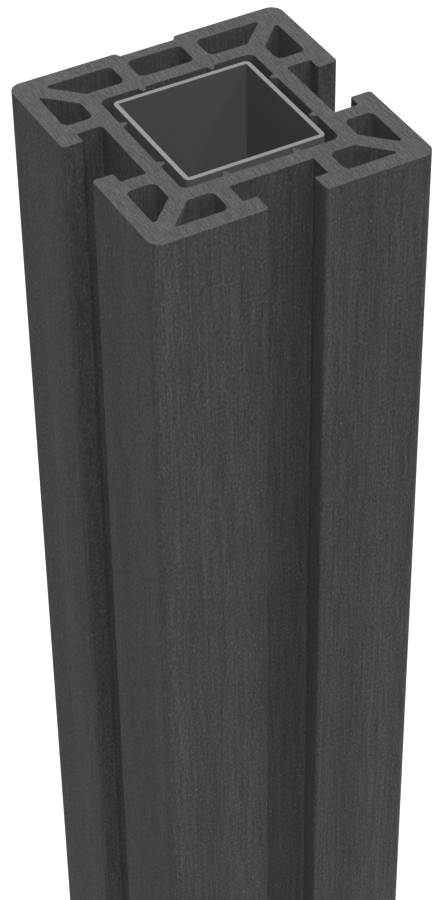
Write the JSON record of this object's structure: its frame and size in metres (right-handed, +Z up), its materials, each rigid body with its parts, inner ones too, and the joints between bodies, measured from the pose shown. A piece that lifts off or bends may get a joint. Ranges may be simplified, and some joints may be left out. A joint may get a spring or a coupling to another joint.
{
  "type": "gate post",
  "caption": "Square gate post extruded in dark composite, with undercut board slots in its sides, a closed side with a shallow recess, and a square steel core tube inside.",
  "frame": {"origin": "centre of the post's foot, on the plane it stands on", "axes": "+Z up the post; +Y out of the closed side; slots in the -X, -Y and +X sides"},
  "size_m": [0.09, 0.09, 1.05],
  "materials": {
    "composite": "brushed, anthracite grey",
    "galvanised_steel": "galvanised, sawn ends"
  },
  "bodies": {
    "root": {"composite_profile": "composite", "steel_core_tube": "galvanised_steel"}
  },
  "joints": []
}
